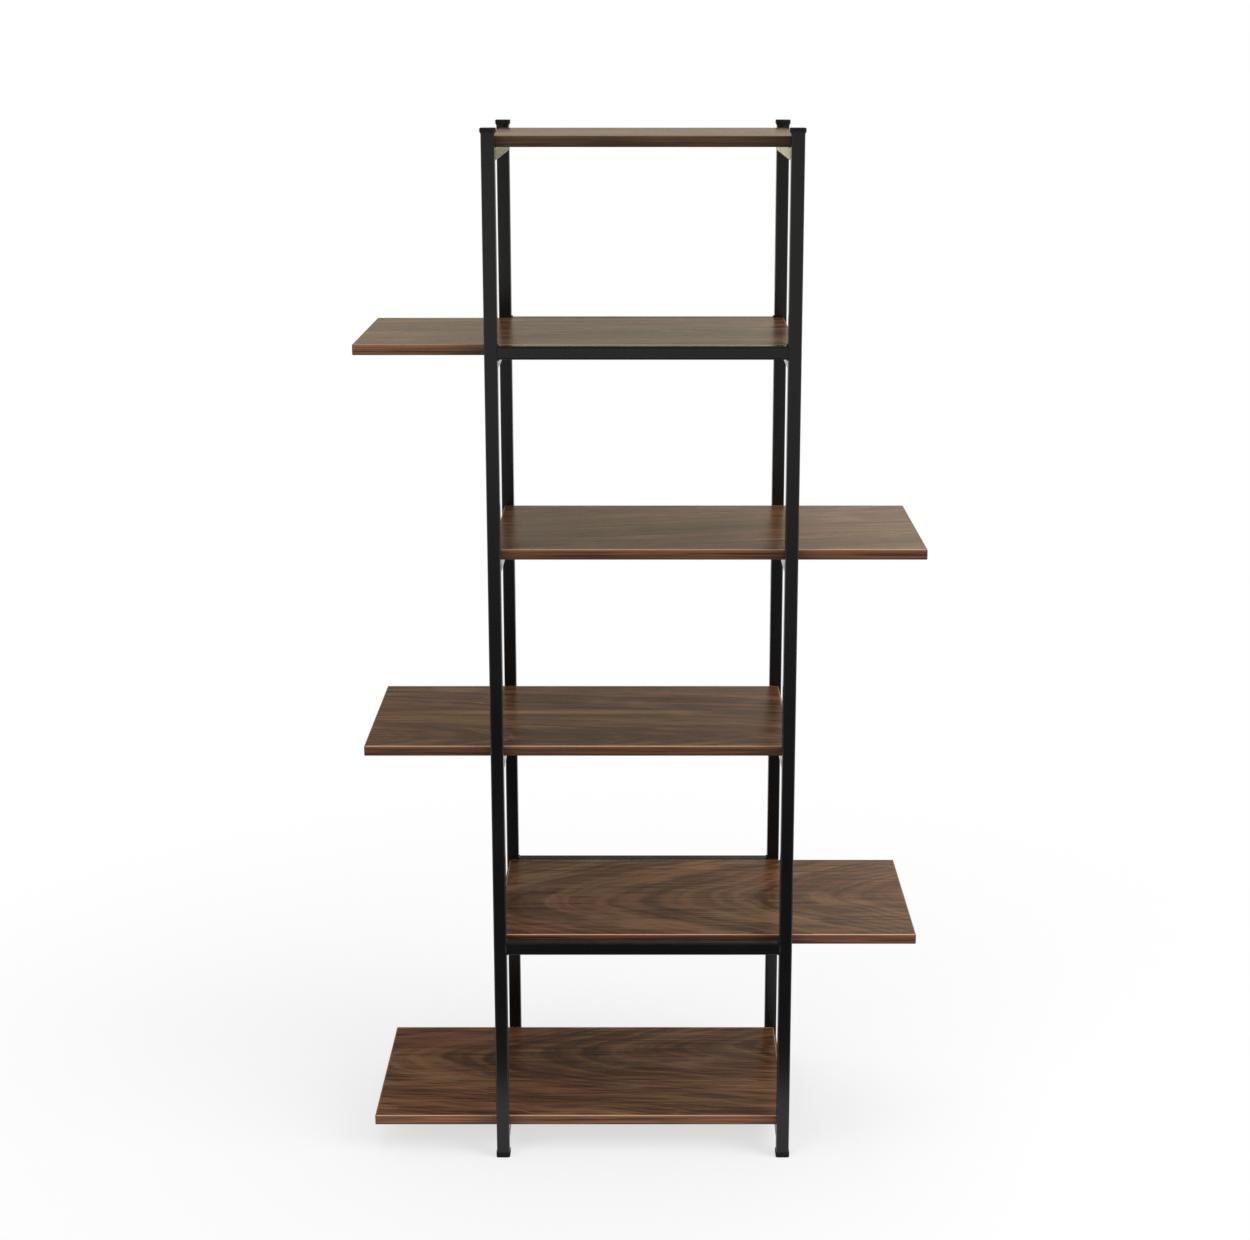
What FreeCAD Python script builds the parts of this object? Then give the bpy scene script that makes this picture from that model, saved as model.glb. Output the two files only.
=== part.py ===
import FreeCAD, Part
import os

# Zigzag bookshelf. Two ladder sides of square steel tube stand on moulded feet and are tied together
# by four welded crossbars. Six boards are screwed down on the ladder rungs, and the lower five run out
# past the frame to the left and to the right in turn. Sizes are in millimetres. The origin is on the
# floor under the middle of the frame, +Z is up, +X is to the right and the front faces -Y.

# Square steel tube
tube_side = 20.0
tube_wall = 1.2
tube_corner = 2.5

# Frame: outer width over the uprights, and the clear gap from a front to a rear upright
frame_width = 466.0
upright_gap = 330.0

# Shelves, counted from the floor: the rung of the lowest one, and the steps up from board to board
shelf_count = 6
lowest_rail_height = 26.0
shelf_pitch = 310.0
top_pitch = 302.0
upright_rise = 4.0

# Boards: chipboard core with a glued edge band
board_thickness = 16.0
board_clearance = 2.0
board_inset = 5.0
overhang = 196.0
band_thickness = 2.0
band_round = 1.5
band_joint = 0.05

# Crossbars lie level with two of the boards, and the lower front one sits a little deeper
lower_front_drop = 5.5

# Welds: a bead in each seam or corner of a joint that no board lies against
weld_radius = 2.4
weld_proud = 0.6
weld_length = 14.0
weld_end_round = 1.7

# Screws that come up through the rungs into the boards
screw_diameter = 4.0
screw_clearance = 0.25
thread_clearance = 0.1
screw_head_diameter = 8.0
screw_head_height = 2.6
screw_dome_radius = 5.5
screw_tip = 3.0
screw_cover = 5.0
screw_setback = 45.0
recess_length = 4.4
recess_width = 1.1
recess_depth = 1.5

# Moulded plugs in the tube ends: a flange outside and a hollow finned skirt inside
cap_height = 8.0
cap_lip = 1.6
cap_flare = 2.5
cap_round = 1.2
foot_height = 9.0
foot_lip = 1.0
foot_flare = 1.5
foot_round = 1.6
plug_length = 14.0
plug_wall = 1.4
plug_clearance = 0.1
fin_count = 3
fin_reach = 1.2
fin_thickness = 0.9
fin_pitch = 4.0

# Sizes that follow from those above
V = FreeCAD.Vector
tube_bore = tube_side - 2 * tube_wall
bore_corner = max(tube_corner - tube_wall, 0.3)
upright_x = (frame_width - tube_side) / 2
upright_y = (upright_gap + tube_side) / 2
board_depth = upright_gap - 2 * board_clearance
screw_y = upright_gap / 2 - screw_setback
screw_length = tube_side + board_thickness - screw_cover
crossbar_length = frame_width - 2 * tube_side
sides = {"left": -1, "right": 1}
rows = {"front": -1, "rear": 1}


def board_top(shelf):
    """Height of a board's upper face. Only the step up to the top board differs."""
    first_top = lowest_rail_height + tube_side + board_thickness
    if shelf == shelf_count:
        return first_top + (shelf - 2) * shelf_pitch + top_pitch
    return first_top + (shelf - 1) * shelf_pitch


def board_ends(shelf):
    """Left and right end of a board. Odd shelves run out to the left, even ones to the right."""
    plain_end = frame_width / 2 - board_inset
    long_end = frame_width / 2 + overhang
    if shelf == shelf_count:
        return -plain_end, plain_end
    if shelf % 2 == 1:
        return -long_end, plain_end
    return -plain_end, long_end


def crossbar_shelf(level):
    """Crossbars lie at the second board from the top and the second from the floor."""
    if level == "upper":
        return shelf_count - 1
    return 2


def crossbar_middle(level, row):
    """Height of a crossbar's axis. Its top is level with the board beside it, apart from the drop."""
    middle = board_top(crossbar_shelf(level)) - tube_side / 2
    if level == "lower" and row == "front":
        return middle - lower_front_drop
    return middle


def rounded_square(side, corner, height=0.0):
    """Closed outline of a square with round corners, level at a height and centred on the Z axis."""
    half = side / 2
    flat = half - corner
    straight = Part.makeLine(V(half, -flat, height), V(half, flat, height))
    bend = Part.makeCircle(corner, V(flat, flat, height), V(0, 0, 1), 0, 90)
    quarter = (straight, bend)
    edges = [edge.rotated(V(), V(0, 0, 1), 90 * turn) for turn in range(4) for edge in quarter]
    return Part.Wire(edges)


def prism(side, corner, height, length):
    """Solid bar of round-cornered square section, upward from a height on the Z axis."""
    return Part.Face(rounded_square(side, corner, height)).extrude(V(0, 0, length))


def tube(length):
    """Square tube along +Z from the origin."""
    outside = prism(tube_side, tube_corner, 0.0, length)
    return outside.cut(prism(tube_bore, bore_corner, 0.0, length))


def along_x(shape):
    """Turn a shape that lies along +Z so that it lies along +X."""
    return shape.rotated(V(), V(0, 1, 0), 90)


def along_y(shape):
    """Turn a shape that lies along +Z so that it lies along +Y."""
    return shape.rotated(V(), V(1, 0, 0), -90)


def upright(side, row):
    """Upright of the ladder side, open at both ends for the foot and the cap."""
    top = board_top(shelf_count) + upright_rise
    post = tube(top - foot_height)
    return post.translated(V(sides[side] * upright_x, rows[row] * upright_y, foot_height))


def rail(shelf, side):
    """Rung of the ladder side, butted between two uprights, drilled for two board screws."""
    rung = along_y(tube(upright_gap)).translated(V(0, -upright_gap / 2, 0))
    for row in rows:
        drill_radius = screw_diameter / 2 + screw_clearance
        start = V(0, rows[row] * screw_y, -tube_side)
        rung = rung.cut(Part.makeCylinder(drill_radius, 2 * tube_side, start))
    middle = board_top(shelf) - board_thickness - tube_side / 2
    return rung.translated(V(sides[side] * upright_x, 0, middle))


def crossbar(level, row):
    """Crossbar between the left and the right upright."""
    bar = along_x(tube(crossbar_length)).translated(V(-crossbar_length / 2, 0, 0))
    return bar.translated(V(0, rows[row] * upright_y, crossbar_middle(level, row)))


def joint_welds(seams, corners):
    """Beads where a bar leaves an upright along +X: in seams beside it, in corners over or under it."""
    half = tube_side / 2
    post = prism(tube_side, tube_corner, -tube_side, 2 * tube_side)
    bar = along_x(prism(tube_side, tube_corner, half, tube_side))
    run = Part.makeCylinder(weld_radius, weld_length, V(0, 0, -weld_length / 2))
    rims = [edge for edge in run.Edges if edge.BoundBox.ZLength < weld_radius]
    run = run.makeFillet(weld_end_round, rims)
    sunk = half - weld_radius + weld_proud
    beads = [run.translated(V(half - tube_corner / 3, seam * sunk, 0)) for seam in seams]
    beads += [along_y(run).translated(V(half, 0, corner * half)) for corner in corners]
    return [bead.cut([post, bar]).Solids[0] for bead in beads]


def frame_welds():
    """All beads of the frame. Beside a crossbar, the seam on the rung's inner face is left out."""
    braced_shelves = [crossbar_shelf("upper"), crossbar_shelf("lower")]
    beads = []
    for side in sides:
        for row in rows:
            inner = -sides[side] * rows[row]
            foot_point = V(sides[side] * upright_x, rows[row] * upright_y, 0)
            for shelf in range(1, shelf_count + 1):
                seams = [-inner] if shelf in braced_shelves else [-1, 1]
                middle = board_top(shelf) - board_thickness - tube_side / 2
                for bead in joint_welds(seams, [-1]):
                    turned = bead.rotated(V(), V(0, 0, 1), -90 * rows[row])
                    beads.append(turned.translated(foot_point + V(0, 0, middle)))
            for level in ("upper", "lower"):
                middle = crossbar_middle(level, row)
                for bead in joint_welds([inner], [-1, 1]):
                    turned = bead.rotated(V(), V(0, 0, 1), 90 + 90 * sides[side])
                    beads.append(turned.translated(foot_point + V(0, 0, middle)))
    return Part.makeCompound(beads)


def domed_head(diameter, height, dome_radius):
    """Round head below the origin plane, with a straight rim and a spherical crown."""
    rim = Part.makeCylinder(diameter / 2, height, V(0, 0, -height))
    return rim.common(Part.makeSphere(dome_radius, V(0, 0, dome_radius - height)))


def screw():
    """Pan-head screw along +Z, its head below the origin plane, with a cross recess."""
    head = domed_head(screw_head_diameter, screw_head_height, screw_dome_radius)
    radius = screw_diameter / 2
    shank = Part.makeCylinder(radius, screw_length - screw_tip)
    tip = Part.makeCone(radius, 0, screw_tip, V(0, 0, screw_length - screw_tip))
    start = V(-recess_length / 2, -recess_width / 2, -screw_head_height)
    slot = Part.makeBox(recess_length, recess_width, recess_depth, start)
    recess = slot.fuse(slot.rotated(V(), V(0, 0, 1), 90))
    return head.fuse([shank, tip]).cut(recess)


def board(shelf):
    """Chipboard core inside its edge band, with a blind pilot hole for each screw."""
    left, right = board_ends(shelf)
    length = right - left - 2 * band_thickness
    depth = board_depth - 2 * band_thickness
    underside = board_top(shelf) - board_thickness
    core = Part.makeBox(length, depth, board_thickness, V(left + band_thickness, -depth / 2, underside))
    for side in sides:
        for row in rows:
            start = V(sides[side] * upright_x, rows[row] * screw_y, underside)
            hole = screw_length - tube_side + thread_clearance
            core = core.cut(Part.makeCylinder(screw_diameter / 2 + thread_clearance, hole, start))
    return core


def band_strip(length, round_ends):
    """Strip of edge band along +X, glued on the XZ plane, its outer arrises milled round."""
    strip = Part.makeBox(length, band_thickness, board_thickness, V(0, -band_thickness, 0))
    arrises = [edge for edge in strip.Edges if edge.BoundBox.YMin < -band_thickness / 2]
    if not round_ends:
        arrises = [edge for edge in arrises if edge.BoundBox.XLength > length / 2]
    return strip.makeFillet(band_round, arrises)


def edge_band(shelf):
    """Four strips round a board: the long ones run its full length, the end ones fit between them."""
    left, right = board_ends(shelf)
    depth = board_depth - 2 * band_thickness
    underside = board_top(shelf) - board_thickness
    long_strip = band_strip(right - left, True)
    end_length = depth - 2 * band_joint
    end_strip = band_strip(end_length, False)
    front = long_strip.translated(V(left, -depth / 2, underside))
    rear = long_strip.rotated(V(), V(0, 0, 1), 180).translated(V(right, depth / 2, underside))
    left_end = end_strip.rotated(V(), V(0, 0, 1), -90)
    left_end = left_end.translated(V(left + band_thickness, end_length / 2, underside))
    right_end = end_strip.rotated(V(), V(0, 0, 1), 90)
    right_end = right_end.translated(V(right - band_thickness, -end_length / 2, underside))
    return Part.makeCompound([front, rear, left_end, right_end])


def plug(height, lip, flare, edge_round):
    """Moulded plug seated on a tube end at the origin: a flared flange above, a finned skirt below."""
    flange_side = tube_side + 2 * lip
    flange_corner = tube_corner + lip
    seat = rounded_square(tube_side, tube_corner)
    brim = rounded_square(flange_side, flange_corner, flare)
    neck = Part.makeLoft([seat, brim], True, True)
    head = prism(flange_side, flange_corner, flare, height - flare)
    rim = [edge for edge in head.Edges if edge.BoundBox.ZMin > height - edge_round]
    head = head.makeFillet(edge_round, rim)
    skirt_side = tube_bore - 2 * plug_clearance - 2 * fin_reach
    skirt = prism(skirt_side, bore_corner, -plug_length, plug_length)
    for fin in range(fin_count):
        level = -plug_length + fin * fin_pitch
        skirt = skirt.fuse(prism(tube_bore - 2 * plug_clearance, bore_corner, level, fin_thickness))
    hollow_side = skirt_side - 2 * plug_wall
    hollow = prism(hollow_side, bore_corner, -plug_length, plug_length)
    return neck.fuse([head, skirt.cut(hollow)]).removeSplitter()


def top_cap(side, row):
    """Cap on an upright's upper end."""
    cap = plug(cap_height, cap_lip, cap_flare, cap_round)
    seat = board_top(shelf_count) + upright_rise
    return cap.translated(V(sides[side] * upright_x, rows[row] * upright_y, seat))


def foot(side, row):
    """Foot under an upright, the same kind of plug turned over."""
    glide = plug(foot_height, foot_lip, foot_flare, foot_round).rotated(V(), V(1, 0, 0), 180)
    return glide.translated(V(sides[side] * upright_x, rows[row] * upright_y, foot_height))


def board_screws():
    """Four screws under each board, heads against the undersides of the rungs."""
    copies = []
    for shelf in range(1, shelf_count + 1):
        seat = board_top(shelf) - board_thickness - tube_side
        for side in sides:
            for row in rows:
                copies.append(screw().translated(V(sides[side] * upright_x, rows[row] * screw_y, seat)))
    return Part.makeCompound(copies)


# Assembly, from the floor up
os.makedirs("parts", exist_ok=True)
nodes = {}
for side in sides:
    for row in rows:
        nodes[f"{row}_{side}_foot"] = foot(side, row)
        nodes[f"{row}_{side}_upright"] = upright(side, row)
        nodes[f"{row}_{side}_top_cap"] = top_cap(side, row)
for shelf in range(1, shelf_count + 1):
    for side in sides:
        nodes[f"shelf_{shelf}_{side}_rail"] = rail(shelf, side)
    nodes[f"shelf_{shelf}_board"] = board(shelf)
    nodes[f"shelf_{shelf}_edge_band"] = edge_band(shelf)
for level in ("upper", "lower"):
    for row in rows:
        nodes[f"{level}_{row}_crossbar"] = crossbar(level, row)
nodes["frame_welds"] = frame_welds()
nodes["board_screws"] = board_screws()
for name, shape in nodes.items():
    shape.exportStep(f"parts/{name}.step")
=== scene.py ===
import math

import bpy
from mathutils import Matrix, Vector


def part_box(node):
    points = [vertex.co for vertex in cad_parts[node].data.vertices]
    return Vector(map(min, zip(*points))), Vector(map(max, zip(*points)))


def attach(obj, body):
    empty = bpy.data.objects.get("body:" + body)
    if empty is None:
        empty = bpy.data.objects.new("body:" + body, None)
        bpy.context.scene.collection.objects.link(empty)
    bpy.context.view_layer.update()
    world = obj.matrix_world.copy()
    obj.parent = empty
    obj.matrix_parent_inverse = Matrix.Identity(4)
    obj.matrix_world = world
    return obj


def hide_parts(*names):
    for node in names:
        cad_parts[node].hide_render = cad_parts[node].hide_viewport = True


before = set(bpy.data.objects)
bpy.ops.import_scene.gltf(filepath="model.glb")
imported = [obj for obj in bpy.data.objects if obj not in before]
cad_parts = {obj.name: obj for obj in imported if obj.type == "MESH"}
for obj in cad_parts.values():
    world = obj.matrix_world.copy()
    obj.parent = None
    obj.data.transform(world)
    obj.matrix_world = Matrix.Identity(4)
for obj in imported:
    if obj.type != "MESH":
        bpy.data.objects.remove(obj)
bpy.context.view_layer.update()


# Steel frame: four uprights, twelve rungs and four crossbars cut from 20 mm square tube with a small
# corner radius. The welded frame is blasted and powder coated satin black: the coat has a fine orange
# peel, runs a little thinner over the corners, and takes a film of dust on faces that look up.
def add(tree, kind, **settings):
    """New node in a tree, with its settings."""
    made = tree.nodes.new(kind)
    for setting, value in settings.items():
        setattr(made, setting, value)
    return made


def feed(tree, socket, value):
    """Give a socket a number or a colour, or wire another node's output to it."""
    if isinstance(value, bpy.types.NodeSocket):
        tree.links.new(value, socket)
    else:
        socket.default_value = value


def maths(tree, operation, *values):
    """Output of a Math node."""
    made = add(tree, "ShaderNodeMath", operation=operation)
    for socket, value in zip(made.inputs, values):
        feed(tree, socket, value)
    return made.outputs[0]


def times(tree, first, second):
    """Product of two values."""
    return maths(tree, "MULTIPLY", first, second)


def spread(tree, value, low, high, new_low=0.0, new_high=1.0):
    """A value eased from one range to another, and held at its ends."""
    made = add(tree, "ShaderNodeMapRange", interpolation_type="SMOOTHSTEP")
    for socket, number in zip(made.inputs, (value, low, high, new_low, new_high)):
        feed(tree, socket, number)
    return made.outputs[0]


def mottle(tree, vector, scale, detail=2.0):
    """Cloudy grey pattern between 0 and 1."""
    made = add(tree, "ShaderNodeTexNoise")
    feed(tree, made.inputs["Vector"], vector)
    feed(tree, made.inputs["Scale"], scale)
    feed(tree, made.inputs["Detail"], detail)
    return made.outputs["Fac"]


def tint(tree, share, first, second):
    """Mix of two colours by a share between 0 and 1."""
    made = add(tree, "ShaderNodeMix", data_type="RGBA")
    feed(tree, made.inputs["Factor"], share)
    feed(tree, made.inputs[6], first)
    feed(tree, made.inputs[7], second)
    return made.outputs[2]


def axes(tree, vector):
    """X, Y and Z of a vector."""
    made = add(tree, "ShaderNodeSeparateXYZ")
    tree.links.new(vector, made.inputs[0])
    return made.outputs


def piece_point(tree):
    """Place on a piece, in metres."""
    return add(tree, "ShaderNodeTexCoord").outputs["Object"]


def facing(tree):
    """X, Y and Z of the direction in which a surface looks."""
    return axes(tree, add(tree, "ShaderNodeNewGeometry").outputs["Normal"])


def new_group(name, inputs, outputs):
    """Empty shader node group with number sockets, and its two end nodes."""
    tree = bpy.data.node_groups.new(name, "ShaderNodeTree")
    for socket in inputs:
        tree.interface.new_socket(socket, in_out="INPUT", socket_type="NodeSocketFloat")
    for socket in outputs:
        tree.interface.new_socket(socket, in_out="OUTPUT", socket_type="NodeSocketFloat")
    return tree, add(tree, "NodeGroupInput"), add(tree, "NodeGroupOutput")


def place(tree, group, **values):
    """A group in a material, with its input values."""
    made = add(tree, "ShaderNodeGroup", node_tree=group)
    for socket, value in values.items():
        feed(tree, made.inputs[socket.replace("_", " ")], value)
    return made.outputs


def new_finish(name):
    """New material, its node tree and its Principled shader."""
    material = bpy.data.materials.new(name)
    material.use_nodes = True
    tree = material.node_tree
    return material, tree, tree.nodes["Principled BSDF"]


def worn_black(tree, skin, black, clouded, rubbed, rub_share, dusty, dust_share):
    """Colour of a black finish that is cloudy, rubbed at the corners and dusty on top."""
    colour = tint(tree, skin["Cloud"], black, clouded)
    colour = tint(tree, times(tree, skin["Corner"], rub_share), colour, rubbed)
    return tint(tree, times(tree, skin["Dust"], dust_share), colour, dusty)


def relief(tree, shader, height, strength, distance, sunken=False):
    """Fine texture that stands out from a finish, or is sunk into it."""
    made = add(tree, "ShaderNodeBump", invert=sunken)
    made.inputs["Strength"].default_value = strength
    made.inputs["Distance"].default_value = distance
    feed(tree, made.inputs["Height"], height)
    feed(tree, shader.inputs["Normal"], made.outputs["Normal"])


def wear(piece, material):
    """Put a finish on a piece in place of its plain colour."""
    piece.data.materials.clear()
    piece.data.materials.append(material)


cloud_scale = 7.0
rub_scale = 55.0
rub_patches = (0.35, 0.65)
least_rub = 0.35
dust_scale = 34.0
dust_patches = (0.40, 0.72)
least_dust = 0.5
dust_slope = (0.55, 1.0)
flat_lean = 0.985
round_lean = 0.80

skin, skin_in, skin_out = new_group("coated_skin", ["Grain Scale"], ["Grain", "Cloud", "Corner", "Dust"])
skin_point = piece_point(skin)
skin_facing = facing(skin)
lean_x, lean_y, lean_z = [maths(skin, "ABSOLUTE", axis) for axis in skin_facing]
flattest = maths(skin, "MAXIMUM", maths(skin, "MAXIMUM", lean_x, lean_y), lean_z)
rubbing = spread(skin, mottle(skin, skin_point, rub_scale, 3.0), *rub_patches, least_rub)
corner = times(skin, spread(skin, flattest, flat_lean, round_lean), rubbing)
dust_film = spread(skin, mottle(skin, skin_point, dust_scale, 5.0), *dust_patches, least_dust)
dust = times(skin, spread(skin, skin_facing[2], *dust_slope), dust_film)
feed(skin, skin_out.inputs["Grain"], mottle(skin, skin_point, skin_in.outputs["Grain Scale"]))
feed(skin, skin_out.inputs["Cloud"], mottle(skin, skin_point, cloud_scale, 4.0))
feed(skin, skin_out.inputs["Corner"], corner)
feed(skin, skin_out.inputs["Dust"], dust)

coat_black = (0.0040, 0.0040, 0.0042, 1)
coat_cloud = (0.0064, 0.0063, 0.0062, 1)
coat_thin = (0.018, 0.018, 0.0185, 1)
coat_thin_share = 0.5
coat_dust = (0.16, 0.15, 0.14, 1)
coat_dust_share = 0.12
coat_roughness = (0.19, 0.25)
pattern_ends = (0.3, 0.7)
dust_roughness = 0.03
peel_scale = 480.0
peel_strength = 0.22
peel_height = 0.0005

coat, tree, shader = new_finish("satin_black_coat")
coat_skin = place(tree, skin, Grain_Scale=peel_scale)
coat_colour = worn_black(
    tree, coat_skin, coat_black, coat_cloud, coat_thin, coat_thin_share, coat_dust, coat_dust_share
)
feed(tree, shader.inputs["Base Color"], coat_colour)
coat_satin = spread(tree, coat_skin["Cloud"], *pattern_ends, *coat_roughness)
coat_satin = maths(tree, "ADD", coat_satin, times(tree, coat_skin["Dust"], dust_roughness))
feed(tree, shader.inputs["Roughness"], coat_satin)
relief(tree, shader, coat_skin["Grain"], peel_strength, peel_height)

shelves = range(1, 7)
sides = ("left", "right")
rows = ("front", "rear")
rungs = [f"shelf_{shelf}_{side}_rail" for shelf in shelves for side in sides]
uprights = [f"{row}_{side}_upright" for row in rows for side in sides]
crossbars = [f"{level}_{row}_crossbar" for level in ("upper", "lower") for row in rows]
for name in rungs + uprights + crossbars:
    wear(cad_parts[name], coat)


# Welds: short beads run by hand in the seams and corners where a rung or a crossbar meets an upright,
# left as they are under the powder coat. Each bead is a row of overlapping ripples. Beside the boards
# the joints are left free, so that the boards lie flat.
bead_radius = 0.0024
bead_proud = 0.0006
ripple_count = 7
ripple_pitch = 0.0017
ripple_flatness = 0.62
melt_size = 0.00036
half_tube = 0.010
corner_radius = 0.0025
seam_root = 0.0012
corner_root = 0.0003
smooth_angle = math.radians(50)
crossbar_shelves = (2, 5)
scene = bpy.context.scene

bpy.ops.object.select_all(action="DESELECT")
bpy.ops.mesh.primitive_uv_sphere_add(segments=18, ring_count=10, radius=bead_radius, location=(0, 0, 0))
ripple = bpy.context.object
ripple.name = "weld_ripple"
bpy.ops.object.mode_set(mode="EDIT")
bpy.ops.mesh.select_all(action="SELECT")
bpy.ops.transform.resize(value=(1.0, 1.0, ripple_flatness))
bpy.ops.object.mode_set(mode="OBJECT")
row_of_ripples = ripple.modifiers.new("ripples", "ARRAY")
row_of_ripples.count = ripple_count
row_of_ripples.use_relative_offset = False
row_of_ripples.use_constant_offset = True
row_of_ripples.constant_offset_displace = (0.0, 0.0, ripple_pitch)
bpy.ops.object.modifier_apply(modifier="ripples")
melted = ripple.modifiers.new("melted", "REMESH")
melted.mode = "VOXEL"
melted.voxel_size = melt_size
bpy.ops.object.modifier_apply(modifier="melted")
eased = ripple.modifiers.new("eased", "SMOOTH")
eased.factor = 0.4
eased.iterations = 2
bpy.ops.object.modifier_apply(modifier="eased")
ripple.data.transform(Matrix.Translation((0, 0, -(ripple_count - 1) / 2 * ripple_pitch)))


def trim(piece, point, normal):
    """Cut away the part of a piece behind a plane and close the cut."""
    bpy.ops.object.select_all(action="DESELECT")
    piece.select_set(True)
    bpy.context.view_layer.objects.active = piece
    bpy.ops.object.mode_set(mode="EDIT")
    bpy.ops.mesh.select_all(action="SELECT")
    bpy.ops.mesh.bisect(plane_co=point, plane_no=normal, use_fill=True, clear_inner=True)
    bpy.ops.object.mode_set(mode="OBJECT")


def copy_piece(piece, name, matrix):
    """Copy of a piece with a mesh of its own, moved in its mesh."""
    twin = piece.copy()
    twin.name = name
    twin.data = piece.data.copy()
    twin.data.transform(matrix)
    scene.collection.objects.link(twin)
    return twin


seam_place = Matrix.Translation((half_tube - corner_radius / 3, half_tube - bead_radius + bead_proud, 0))
seam_bead = copy_piece(ripple, "seam_bead", seam_place)
trim(seam_bead, (0, half_tube - seam_root, 0), (0, 1, 0))
corner_place = Matrix.Translation((half_tube, 0, -half_tube)) @ Matrix.Rotation(math.pi / 2, 4, "X")
corner_bead = copy_piece(ripple, "corner_bead", corner_place)
trim(corner_bead, (half_tube - corner_root, 0, 0), (1, 0, 0))
trim(corner_bead, (0, 0, -half_tube + corner_root), (0, 0, -1))

upside_down = Matrix.Rotation(math.pi, 4, "X")
this_seam = Matrix.Identity(4)
other_seam = Matrix.Diagonal((1, -1, 1, 1))
beads = []
for side, side_sign in (("left", -1), ("right", 1)):
    for row, row_sign in (("front", -1), ("rear", 1)):
        post_low, post_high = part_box(f"{row}_{side}_upright")
        post = Vector(((post_low[0] + post_high[0]) / 2, (post_low[1] + post_high[1]) / 2, 0))
        inner = -side_sign * row_sign
        along_rung = Matrix.Rotation(-row_sign * math.pi / 2, 4, "Z")
        along_crossbar = Matrix.Rotation((1 + side_sign) * math.pi / 2, 4, "Z")
        for shelf in shelves:
            rung_low, rung_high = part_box(f"shelf_{shelf}_{side}_rail")
            middle = (rung_low[2] + rung_high[2]) / 2
            joint = Matrix.Translation(post + Vector((0, 0, middle))) @ along_rung
            seams = [-inner] if shelf in crossbar_shelves else [-1, 1]
            for seam in seams:
                turn = this_seam if seam > 0 else other_seam
                beads.append(copy_piece(seam_bead, "rung_weld", joint @ turn))
            beads.append(copy_piece(corner_bead, "rung_weld", joint))
        for level in ("upper", "lower"):
            bar_low, bar_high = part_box(f"{level}_{row}_crossbar")
            middle = (bar_low[2] + bar_high[2]) / 2
            joint = Matrix.Translation(post + Vector((0, 0, middle))) @ along_crossbar
            turn = this_seam if inner > 0 else other_seam
            beads.append(copy_piece(seam_bead, "crossbar_weld", joint @ turn))
            beads.append(copy_piece(corner_bead, "crossbar_weld", joint))
            beads.append(copy_piece(corner_bead, "crossbar_weld", joint @ upside_down))
for pattern in (ripple, seam_bead, corner_bead):
    bpy.data.objects.remove(pattern)
bpy.ops.object.select_all(action="DESELECT")
for bead in beads:
    bead.select_set(True)
bpy.context.view_layer.objects.active = beads[0]
bpy.ops.object.join()
welds = bpy.context.object
welds.name = "weld_beads"
bpy.ops.object.mode_set(mode="EDIT")
bpy.ops.mesh.select_all(action="SELECT")
bpy.ops.mesh.normals_make_consistent(inside=False)
bpy.ops.object.mode_set(mode="OBJECT")
bpy.ops.object.shade_smooth_by_angle(angle=smooth_angle)
wear(welds, coat)
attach(welds, "root")
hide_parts("frame_welds")


# Caps and feet: plugs of black plastic, injection moulded with an eroded matt skin and pressed into
# the ends of the uprights, where fins on their skirts hold them.
plastic_black = (0.0080, 0.0080, 0.0085, 1)
plastic_cloud = (0.0130, 0.0130, 0.0135, 1)
plastic_rubbed = (0.040, 0.040, 0.042, 1)
plastic_rub_share = 0.35
plastic_dust = (0.15, 0.145, 0.14, 1)
plastic_dust_share = 0.02
plastic_roughness = (0.62, 0.74)
plastic_shine = 0.15
erosion_scale = 1700.0
erosion_strength = 0.25
erosion_height = 0.0002

plastic, tree, shader = new_finish("moulded_black_plastic")
plastic_skin = place(tree, skin, Grain_Scale=erosion_scale)
plastic_colour = worn_black(
    tree, plastic_skin, plastic_black, plastic_cloud, plastic_rubbed, plastic_rub_share,
    plastic_dust, plastic_dust_share,
)
feed(tree, shader.inputs["Base Color"], plastic_colour)
plastic_matt = spread(tree, plastic_skin["Grain"], *pattern_ends, *plastic_roughness)
feed(tree, shader.inputs["Roughness"], plastic_matt)
shader.inputs["Specular IOR Level"].default_value = plastic_shine
relief(tree, shader, plastic_skin["Grain"], erosion_strength, erosion_height)
for row in rows:
    for side in sides:
        wear(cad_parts[f"{row}_{side}_top_cap"], plastic)
        wear(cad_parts[f"{row}_{side}_foot"], plastic)


# Boards: chipboard faced with a satin walnut laminate, its figure printed and pressed with the pores.
# The figure is a log sliced lengthwise: growth rings are cones round the heart, so they show as nested
# arches where the cut passes near it and as straight lines beside it. No two boards are the same.
def grain(tree, point, repeats, detail=2.0):
    """Cloudy pattern by its repeats per metre along and across the grain, and from board to board."""
    stretched = add(tree, "ShaderNodeCombineXYZ")
    for socket, value, repeat in zip(stretched.inputs, point, repeats):
        feed(tree, socket, times(tree, value, repeat))
    return mottle(tree, stretched.outputs[0], 1.0, detail)


def waver(tree, pattern, width):
    """A pattern made into a shift to either side."""
    return times(tree, maths(tree, "SUBTRACT", pattern, 0.5), width)


line_rise = (0.30, 0.86)
line_fall = (1.0, 0.88)
faintest_line = 0.2
years_apart = 17.0


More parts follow.
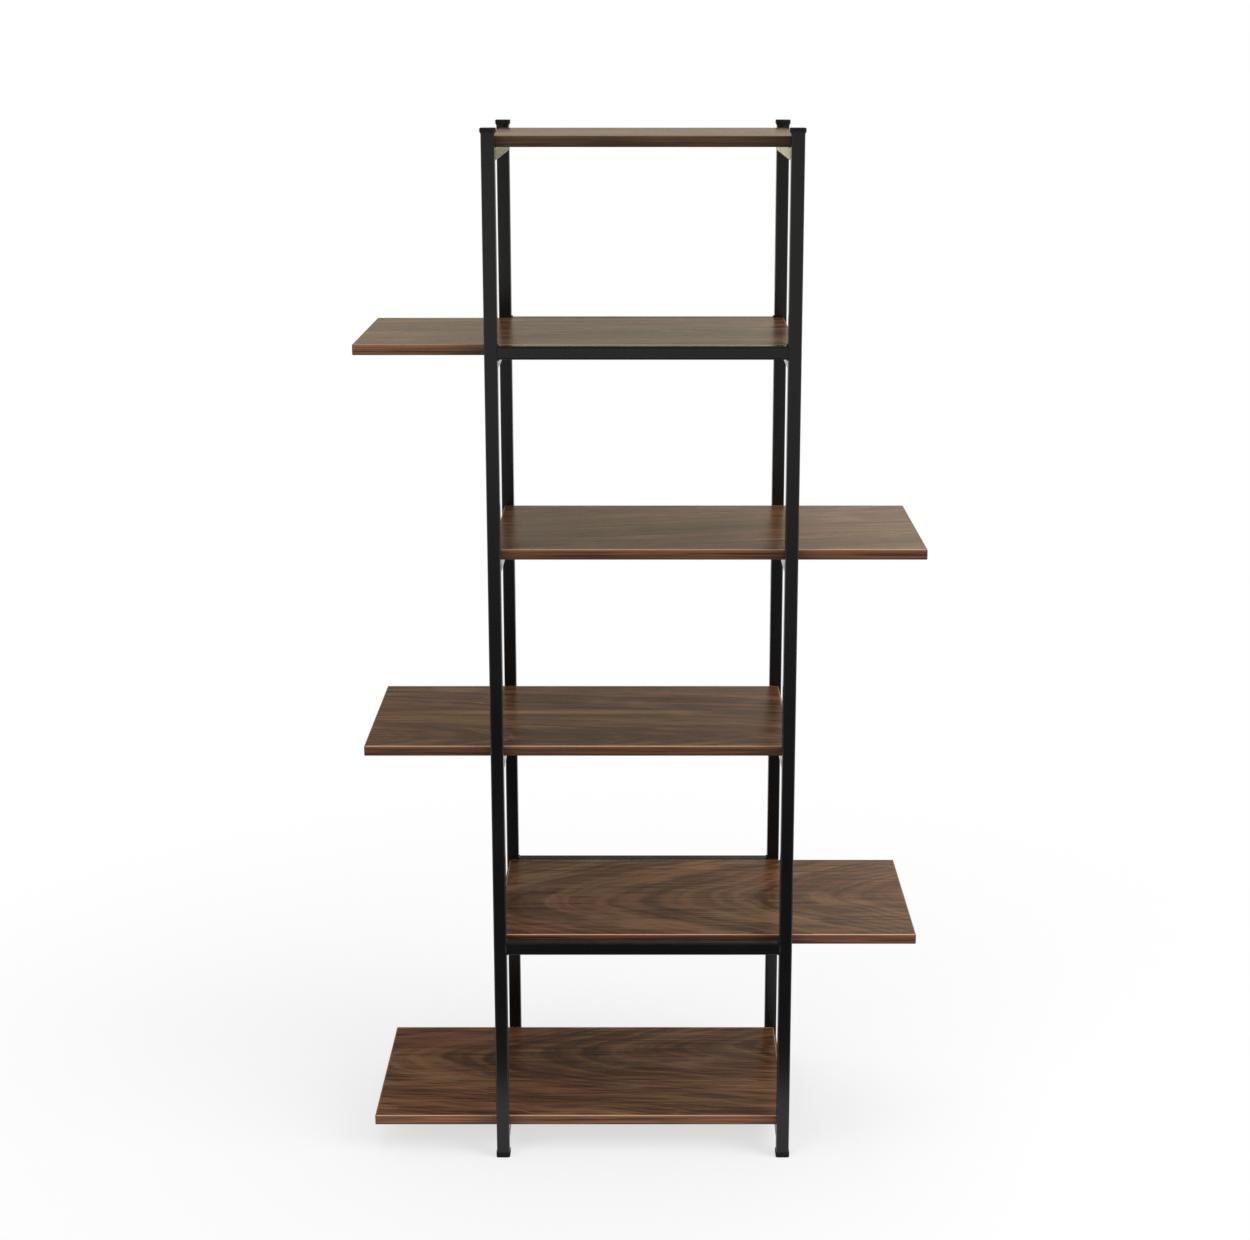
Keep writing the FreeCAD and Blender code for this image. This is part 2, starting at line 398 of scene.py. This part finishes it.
def late_wood(tree, growth, seed):
    """Dark lines at the end of each year's growth, some years stronger than others."""
    season = maths(tree, "FRACT", growth)
    line = times(tree, spread(tree, season, *line_rise), spread(tree, season, *line_fall))
    year = maths(tree, "ADD", maths(tree, "FLOOR", growth), times(tree, seed, years_apart))
    strength = add(tree, "ShaderNodeTexWhiteNoise", noise_dimensions="1D")
    feed(tree, strength.inputs["W"], year)
    return times(tree, line, spread(tree, strength.outputs["Value"], 0.0, 1.0, faintest_line))


walnut, walnut_in, walnut_out = new_group(
    "walnut_figure",
    ["Along", "Across", "Heart", "Lean", "Depth", "Taper", "Ring", "Seed"],
    ["Ring Line", "Pale Line", "Streak", "Fibre", "Pore", "Tone", "Warmth", "Cloud"],
)
along = walnut_in.outputs["Along"]
seed = walnut_in.outputs["Seed"]
on_board = (along, walnut_in.outputs["Across"], seed)

# rings: distance from the leaning heart of the log, with the sways and kinks of a grown trunk
sway_width = 0.07
kink_width = 0.030
swell_width = 0.05
wobble_years = 0.45
year_repeats = 0.6
year_offset = 7.3
uneven_growth = 2.2
sway = waver(walnut, grain(walnut, on_board, (2.2, 6.0, 3.7)), sway_width)
kink = waver(walnut, grain(walnut, on_board, (8.0, 18.0, 2.3), 3.0), kink_width)
swell = waver(walnut, grain(walnut, on_board, (3.1, 4.0, 5.3)), swell_width)
wobble = waver(walnut, grain(walnut, on_board, (7.0, 60.0, 2.9), 3.0), wobble_years)
heart_line = maths(walnut, "MULTIPLY_ADD", along, walnut_in.outputs["Lean"], walnut_in.outputs["Heart"])
off_heart = maths(walnut, "SUBTRACT", walnut_in.outputs["Across"], heart_line)
off_heart = maths(walnut, "ADD", off_heart, maths(walnut, "ADD", sway, kink))
cut_depth = maths(walnut, "ADD", walnut_in.outputs["Depth"], swell)
reach = maths(walnut, "ADD", maths(walnut, "POWER", off_heart, 2.0), maths(walnut, "POWER", cut_depth, 2.0))
reach = maths(walnut, "SQRT", reach)
reach = maths(walnut, "ADD", reach, times(walnut, along, walnut_in.outputs["Taper"]))
growth = maths(walnut, "ADD", maths(walnut, "DIVIDE", reach, walnut_in.outputs["Ring"]), wobble)
uneven_years = add(walnut, "ShaderNodeTexNoise", noise_dimensions="1D")
year_place = maths(walnut, "MULTIPLY_ADD", growth, year_repeats, times(walnut, seed, year_offset))
feed(walnut, uneven_years.inputs["W"], year_place)
uneven_years.inputs["Scale"].default_value = 1.0
uneven_years.inputs["Detail"].default_value = 2.0
growth = maths(walnut, "MULTIPLY_ADD", uneven_years.outputs["Fac"], uneven_growth, growth)

# lines and streaks follow the rings, fibre and pores run straight along the board
year_line = 0.07
finer_lines = ((2.3, 0.22), (4.3, 0.50), (8.2, 0.54))
pale_lines_per_ring = 3.4
pale_offset = 0.4
on_ring = (along, reach, seed)
fade = spread(walnut, grain(walnut, on_ring, (6.0, 80.0, 9.7)), 0.36, 0.62, 0.15)
ring_line = times(walnut, late_wood(walnut, growth, seed), year_line)
for lines_per_ring, weight in finer_lines:
    finer = late_wood(walnut, times(walnut, growth, lines_per_ring), seed)
    ring_line = maths(walnut, "MULTIPLY_ADD", times(walnut, finer, fade), weight, ring_line)
bright = spread(walnut, grain(walnut, on_ring, (5.0, 55.0, 11.3)), 0.48, 0.66)
pale_growth = maths(walnut, "MULTIPLY_ADD", growth, pale_lines_per_ring, pale_offset)
figure_marks = {
    "Ring Line": ring_line,
    "Pale Line": times(walnut, late_wood(walnut, pale_growth, seed), bright),
    "Streak": spread(walnut, grain(walnut, on_ring, (3.0, 150.0, 6.1), 3.0), 0.28, 0.72),
    "Fibre": spread(walnut, grain(walnut, on_board, (8.0, 230.0, 1.7), 4.0), 0.25, 0.75),
    "Pore": spread(walnut, grain(walnut, on_board, (85.0, 1900.0, 1.3)), 0.60, 0.70),
    "Tone": spread(walnut, grain(walnut, on_ring, (1.6, 26.0, 4.1)), 0.25, 0.75),
    "Warmth": spread(walnut, grain(walnut, on_board, (3.0, 9.0, 12.7)), 0.36, 0.64),
    "Cloud": spread(walnut, grain(walnut, on_board, (8.0, 15.0, 10.9), 3.0), 0.54, 0.74),
}
for mark, value in figure_marks.items():
    feed(walnut, walnut_out.inputs[mark], value)

# heart line and its lean, depth of the cut, taper of the log, ring width, and level of the print: print
# tone together with painted shade, lowest on the top two boards
board_cuts = {
    1: (0.069, 0.094, 0.070, -0.240, 0.0300, 0.90),
    2: (-0.018, 0.045, 0.100, -0.330, 0.0400, 0.85),
    3: (-0.120, 0.000, 0.050, 0.100, 0.0300, 0.84),
    4: (-0.220, 0.000, 0.080, -0.130, 0.0320, 0.86),
    5: (0.230, 0.000, 0.060, 0.070, 0.0280, 0.80),
    6: (0.210, 0.000, 0.050, -0.050, 0.0280, 0.75),
}
walnut_mid = Vector((0.080, 0.0325, 0.0138, 1))
walnut_red = Vector((0.254, 0.100, 0.047, 1))
walnut_gold = Vector((0.270, 0.136, 0.054, 1))
walnut_pore = (0.016, 0.009, 0.006, 1)
pore_share = 0.55
light_weights = {"Tone": 0.26, "Streak": 0.30, "Fibre": 0.42, "Cloud": 0.15}
light_range = (0.26, 0.80)
line_tints = (
    ("Cloud", 0.25, (0.310, 0.200, 0.120, 1)),
    ("Ring Line", 0.80, (0.026, 0.0120, 0.0068, 1)),
    ("Pale Line", 0.58, (0.330, 0.165, 0.075, 1)),
)
streaked_shelf = 3
sapwood = (0.330, 0.175, 0.085, 1)
sapwood_share = 0.85
streak_across = 0.013
streak_middle = -0.120
streak_edges = (0.014, 0.003)
streak_ends = (0.30, 0.05)
laminate_roughness = (0.27, 0.34)
pore_roughness = 0.15
underside_roughness = 0.45
underside_lean = (-0.4, -0.8)
laminate_shine = 0.26
pore_strength = 0.15
pore_depth = 0.0002
for shelf in shelves:
    heart, lean, depth, taper, ring, tone_and_shade = board_cuts[shelf]
    laminate, tree, shader = new_finish(f"walnut_laminate_{shelf}")
    board_point = axes(tree, piece_point(tree))
    board_figure = place(
        tree, walnut, Along=board_point[0], Across=board_point[1], Heart=heart, Lean=lean,
        Depth=depth, Taper=taper, Ring=ring, Seed=float(shelf),
    )
    lightness = 0.0
    for mark, weight in light_weights.items():
        lightness = maths(tree, "MULTIPLY_ADD", board_figure[mark], weight, lightness)
    # the print level darkens the whole board: print tone together with painted shade
    light_wood = tint(tree, board_figure["Warmth"], tone_and_shade * walnut_red, tone_and_shade * walnut_gold)
    board_colour = tint(tree, spread(tree, lightness, *light_range), tone_and_shade * walnut_mid, light_wood)
    for mark, share, shade in line_tints:
        board_colour = tint(tree, times(tree, board_figure[mark], share), board_colour, shade)
    if shelf == streaked_shelf:
        off_streak = maths(tree, "ABSOLUTE", maths(tree, "SUBTRACT", board_point[1], streak_across))
        off_middle = maths(tree, "ABSOLUTE", maths(tree, "SUBTRACT", board_point[0], streak_middle))
        streak_share = spread(tree, off_streak, *streak_edges, 0.0, sapwood_share)
        streak_share = times(tree, streak_share, spread(tree, off_middle, *streak_ends))
        board_colour = tint(tree, streak_share, board_colour, sapwood)
    board_colour = tint(tree, times(tree, board_figure["Pore"], pore_share), board_colour, walnut_pore)
    feed(tree, shader.inputs["Base Color"], board_colour)
    satin = spread(tree, board_figure["Fibre"], 0.0, 1.0, *laminate_roughness)
    satin = maths(tree, "MULTIPLY_ADD", board_figure["Pore"], pore_roughness, satin)
    underside = spread(tree, facing(tree)[2], *underside_lean, 0.0, underside_roughness)
    feed(tree, shader.inputs["Roughness"], maths(tree, "ADD", satin, underside))
    shader.inputs["Specular IOR Level"].default_value = laminate_shine
    relief(tree, shader, board_figure["Pore"], pore_strength, pore_depth, sunken=True)
    wear(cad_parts[f"shelf_{shelf}_board"], laminate)


# Edge bands: 2 mm walnut-print strips glued round each board and milled round at the arrises. On the long
# strips a thin light line runs along the upper arris: the paler core that the milling cuts through to, with
# a painted highlight laid on it and set board by board; on the end strips it stays brown. The glue line
# below the laminate is a shade redder, and its strength follows the painted highlight. The print is
# lightened, darkened and tinted band by band as painted light and shade, and darkened near the lower arris
# as painted shade.
def blend(tree, share, first, second):
    """Mix of two values by a share between 0 and 1."""
    made = add(tree, "ShaderNodeMix", data_type="FLOAT")
    feed(tree, made.inputs[0], share)
    feed(tree, made.inputs[2], first)
    feed(tree, made.inputs[3], second)
    return made.outputs[0]


# depth and redness of the print, both holding painted light and shade band by band, and strength of the
# light line, a painted highlight on the pale core that also sets the glue line
band_prints_and_light = {
    1: (1.60, 1.00, 1.00),
    2: (1.00, 1.05, 1.00),
    3: (0.80, 1.02, 1.00),
    4: (0.90, 1.02, 0.85),
    5: (1.56, 0.86, 0.45),
    6: (0.54, 0.70, 0.10),
}
print_red = (0.165, 0.059, 0.023)
print_brown = (0.080, 0.033, 0.014)
print_grey = (0.090, 0.056, 0.040, 1)
print_dark = (0.026, 0.012, 0.008, 1)
lower_shade_dark = (0.040, 0.018, 0.012, 1)
glue_and_highlight_red = (0.260, 0.095, 0.036, 1)
pale_core_and_highlight = (0.600, 0.400, 0.250, 1)
glue_and_highlight_height = (0.0115, 0.0140)
glue_and_highlight_share = 0.55
lower_height = (0.004, 0.001)
lower_share = 0.5
core_and_highlight_lean = (0.25, 0.65)
core_and_highlight_share = 0.9
end_core_and_highlight_share = 0.15
end_lean = 0.6
end_strip_width = (0.0020, 0.0024)
band_seeds = 10
band_roughness = (0.38, 0.48)
band_shine = 0.4
print_strength = 0.12
print_depth = 0.0002
for shelf in shelves:
    print_and_light_level, redness_as_lit, core_and_highlight_level = band_prints_and_light[shelf]
    band_low, band_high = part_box(f"shelf_{shelf}_edge_band")
    band, tree, shader = new_finish(f"walnut_edge_band_{shelf}")
    band_point = axes(tree, piece_point(tree))
    band_facing = facing(tree)
    end_strip = maths(tree, "GREATER_THAN", maths(tree, "ABSOLUTE", band_facing[0]), end_lean)
    lengthwise = blend(tree, end_strip, band_point[0], band_point[1])
    height = maths(tree, "SUBTRACT", band_point[2], band_low[2])
    band_figure = place(tree, walnut, Along=lengthwise, Across=height, Seed=float(band_seeds + shelf))
    on_strip = (lengthwise, height, float(shelf))
    red_lines = spread(tree, grain(tree, on_strip, (7.0, 300.0, 3.3)), 0.38, 0.62)
    grey_lines = spread(tree, grain(tree, on_strip, (10.0, 420.0, 8.9)), 0.50, 0.72, 0.0, 0.6)
    dark_lines = spread(tree, grain(tree, on_strip, (5.0, 360.0, 5.7)), 0.52, 0.66, 0.0, 0.85)
    # the print's level and redness, set band by band, carry painted light and shade
    reddened = print_and_light_level * Vector((print_red[0] * redness_as_lit, print_red[1], print_red[2], 1))
    browned = print_and_light_level * Vector((print_brown[0] * redness_as_lit, print_brown[1], print_brown[2], 1))
    band_colour = tint(tree, red_lines, browned, reddened)
    band_colour = tint(tree, grey_lines, band_colour, print_grey)
    band_colour = tint(tree, dark_lines, band_colour, print_dark)
    # the glue line's strength follows the painted highlight's level
    glue_and_highlight_line = spread(tree, height, *glue_and_highlight_height, 0.0, glue_and_highlight_share * core_and_highlight_level)
    band_colour = tint(tree, glue_and_highlight_line, band_colour, glue_and_highlight_red)
    # painted shade: the print darkens towards the lower arris
    lower_shade = spread(tree, height, *lower_height, 0.0, lower_share)
    band_colour = tint(tree, lower_shade, band_colour, lower_shade_dark)
    from_left = maths(tree, "SUBTRACT", band_point[0], band_low[0])
    from_right = maths(tree, "SUBTRACT", band_high[0], band_point[0])
    from_end = maths(tree, "MINIMUM", from_left, from_right)
    # painted highlight on the pale core along the upper arris, faint on the end strips
    arris = spread(tree, band_facing[2], *core_and_highlight_lean, 0.0, core_and_highlight_share * core_and_highlight_level)
    arris = times(tree, arris, spread(tree, from_end, *end_strip_width, end_core_and_highlight_share))
    band_colour = tint(tree, arris, band_colour, pale_core_and_highlight)
    feed(tree, shader.inputs["Base Color"], band_colour)
    feed(tree, shader.inputs["Roughness"], spread(tree, band_figure["Fibre"], 0.0, 1.0, *band_roughness))
    shader.inputs["Specular IOR Level"].default_value = band_shine
    relief(tree, shader, band_figure["Pore"], print_strength, print_depth, sunken=True)
    wear(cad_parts[f"shelf_{shelf}_edge_band"], band)


# Board screws: pan-head steel screws, zinc plated and driven up through the rungs into the boards. The
# plating is bright, with a cloudy bloom and the fine dents of tumbling.
zinc_dull = (0.42, 0.43, 0.45, 1)
zinc_bright = (0.62, 0.62, 0.61, 1)
zinc_roughness = (0.26, 0.42)
dent_scale = 2400.0
dent_strength = 0.1
dent_height = 0.0001

zinc, tree, shader = new_finish("zinc_plate")
zinc_skin = place(tree, skin, Grain_Scale=dent_scale)
feed(tree, shader.inputs["Base Color"], tint(tree, zinc_skin["Cloud"], zinc_dull, zinc_bright))
zinc_bloom = spread(tree, zinc_skin["Grain"], *pattern_ends, *zinc_roughness)
feed(tree, shader.inputs["Roughness"], zinc_bloom)
shader.inputs["Metallic"].default_value = 1.0
relief(tree, shader, zinc_skin["Grain"], dent_strength, dent_height)
wear(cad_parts["board_screws"], zinc)


# Studio floor: a wide sheet of pale paper that keeps the soft shadow round the feet and runs out to plain
# white. In the satin faces it mirrors as the studio lights it: dim before the shelf, bright on a narrow
# apron at its feet, to both sides and behind.
paper_grey = (0.88, 0.88, 0.88, 1)
paper_white = (0.91, 0.91, 0.91, 1)
paper_roughness = 0.9
paper_shine = 0.1
paper_scale = 60.0
plain_white = (1, 1, 1, 1)
far_cream = (1.0, 0.92, 0.70, 1)
cream_zone = (8.0, 16.0)
shadow_zone = (0.3, 1.8)
shadow_white = 0.66
left_to_right = (-0.6, 0.6)
front_to_back = (-0.6, 0.3)
dim_ends = (3.2, 1.1)
dim_level = 0.03
front_end = 9.0
front_levels = (0.70, 0.50)
side_start = 0.25
side_near = (0.20, 0.42)
side_far = (1.0, 0.85)
side_level = 0.5
apron_zone = (-0.49, -0.38)
apron_level = 0.85
back_zone = (0.3, 1.6)
back_level = 0.35
right_zone = (0.3, 0.9)
right_far = (9.0, 16.0)
right_dimming = 0.75

bpy.ops.object.select_all(action="DESELECT")
bpy.ops.mesh.primitive_circle_add(vertices=96, radius=40.0, fill_type="NGON", location=(0, 0, 0))
floor = bpy.context.object
floor.name = "studio_floor"
paper, tree, shader = new_finish("pale_floor")
floor_point = piece_point(tree)
floor_axes = axes(tree, floor_point)
floor_x = floor_axes[0]
floor_y = floor_axes[1]
from_shelf = add(tree, "ShaderNodeVectorMath", operation="LENGTH")
tree.links.new(floor_point, from_shelf.inputs[0])
distance = from_shelf.outputs["Value"]
paper_fibres = mottle(tree, floor_point, paper_scale, 3.0)
feed(tree, shader.inputs["Base Color"], tint(tree, paper_fibres, paper_grey, paper_white))
shader.inputs["Roughness"].default_value = paper_roughness
shader.inputs["Specular IOR Level"].default_value = paper_shine
floor_ray = add(tree, "ShaderNodeLightPath").outputs
floor_seen = maths(tree, "MAXIMUM", floor_ray["Is Camera Ray"], floor_ray["Is Transmission Ray"])
white_share = times(tree, spread(tree, distance, *shadow_zone, shadow_white), floor_seen)
white_share = maths(tree, "MAXIMUM", white_share, floor_ray["Is Glossy Ray"])

dim_end = spread(tree, floor_x, *left_to_right, *dim_ends)
front_level = spread(tree, floor_x, *left_to_right, *front_levels)
before = spread(tree, distance, dim_end, front_end, dim_level, front_level)
aside = maths(tree, "SUBTRACT", maths(tree, "ABSOLUTE", floor_x), side_start)
aside = maths(tree, "DIVIDE", aside, distance)
beside = times(tree, spread(tree, aside, *side_near, 0.0, side_level), spread(tree, aside, *side_far))
apron = spread(tree, floor_y, *apron_zone, 0.0, apron_level)
before = maths(tree, "MAXIMUM", maths(tree, "MAXIMUM", before, beside), apron)
far_right = spread(tree, floor_x, *right_zone, 0.0, right_dimming)
far_right = times(tree, far_right, spread(tree, floor_y, *right_far))
behind = maths(tree, "SUBTRACT", spread(tree, distance, *back_zone, back_level), far_right)
mirrored = blend(tree, spread(tree, floor_y, *front_to_back), before, behind)
cream_share = times(tree, spread(tree, floor_y, *cream_zone), floor_ray["Is Glossy Ray"])
white = add(tree, "ShaderNodeEmission")
feed(tree, white.inputs["Strength"], blend(tree, floor_ray["Is Glossy Ray"], 1.0, mirrored))
feed(tree, white.inputs["Color"], tint(tree, cream_share, plain_white, far_cream))
sheet = add(tree, "ShaderNodeMixShader")
feed(tree, sheet.inputs[0], white_share)
tree.links.new(shader.outputs[0], sheet.inputs[1])
tree.links.new(white.outputs[0], sheet.inputs[2])
tree.links.new(sheet.outputs[0], tree.nodes["Material Output"].inputs["Surface"])
floor.data.materials.append(paper)


# Studio light: a white cove behind the object and a dim room behind the camera, with two large soft
# boxes at the front and one overhead. Seen directly, the cove is plain white from every side.
low_cream = (1.0, 0.965, 0.68, 1)
high_cream = (1.0, 0.96, 0.88, 1)
cream_height = (0.0, 0.32)
fill_level = 0.45
room_to_cove = (-0.5, 0.4)
room_level = 0.30
cove_height = (0.0, 0.38)
cove_top_level = 0.06
wall_edge = (0.045, 0.10)
wall_run = (-0.2, 0.5)
wall_front_level = 0.35
wall_height = (0.15, 0.36)
wall_levels = (0.30, 0.60)

world = bpy.data.worlds.new("studio")
world.use_nodes = True
scene.world = world
tree = world.node_tree
heading = axes(tree, add(tree, "ShaderNodeTexCoord").outputs["Generated"])
cove_level = spread(tree, heading[1], *room_to_cove, room_level)
cove_level = times(tree, cove_level, spread(tree, heading[2], *cove_height, 1.0, cove_top_level))
right_wall = spread(tree, heading[1], *wall_run, wall_front_level)
right_wall = times(tree, right_wall, spread(tree, heading[0], *wall_edge))
right_wall = times(tree, right_wall, spread(tree, heading[2], *wall_height, *wall_levels))
cove_level = maths(tree, "ADD", cove_level, right_wall)
cream = tint(tree, spread(tree, heading[2], *cream_height), low_cream, high_cream)
cove_ray = add(tree, "ShaderNodeLightPath").outputs
cove_seen = maths(tree, "MAXIMUM", cove_ray["Is Camera Ray"], cove_ray["Is Transmission Ray"])
lit_level = blend(tree, cove_ray["Is Glossy Ray"], fill_level, cove_level)
cove = tree.nodes["Background"]
feed(tree, cove.inputs["Strength"], blend(tree, cove_seen, lit_level, 1.0))
feed(tree, cove.inputs["Color"], tint(tree, cove_ray["Is Glossy Ray"], plain_white, cream))

# place, width and power of each soft box, all turned to the middle of the shelf
soft_boxes = {
    "front_left_box": ((-2.4, -3.0, 2.6), 2.2, 42.0),
    "front_right_box": ((3.0, -1.4, 2.6), 2.2, 98.0),
    "overhead_box": ((0.0, 0.3, 3.9), 2.6, 46.0),
}
shelf_middle = Vector((0, 0, 0.8))
for name, (box_place, width, power) in soft_boxes.items():
    lamp = bpy.data.lights.new(name, "AREA")
    lamp.shape = "SQUARE"
    lamp.size = width
    lamp.energy = power
    soft_box = bpy.data.objects.new(name, lamp)
    soft_box.location = box_place
    aim = shelf_middle - Vector(box_place)
    soft_box.rotation_euler = aim.to_track_quat("-Z", "Y").to_euler()
    soft_box.visible_camera = False
    soft_box.visible_glossy = False
    scene.collection.objects.link(soft_box)


# Camera: stands a little above the top board, square to the front of the frame, and looks slightly down.
# A small lens shift puts the shelf where the photograph has it in its frame.
camera_place = (0.0, -3.385, 1.7318)
camera_tilt = math.radians(76.861)

lens = bpy.data.cameras.new("photo_camera")
lens.sensor_width = 36.0
lens.lens = 63.247
lens.shift_x = -0.0143
lens.shift_y = -0.05
camera = bpy.data.objects.new("photo_camera", lens)
camera.location = camera_place
camera.rotation_euler = (camera_tilt, 0.0, 0.0)
scene.collection.objects.link(camera)
scene.camera = camera
scene.view_settings.view_transform = "Standard"
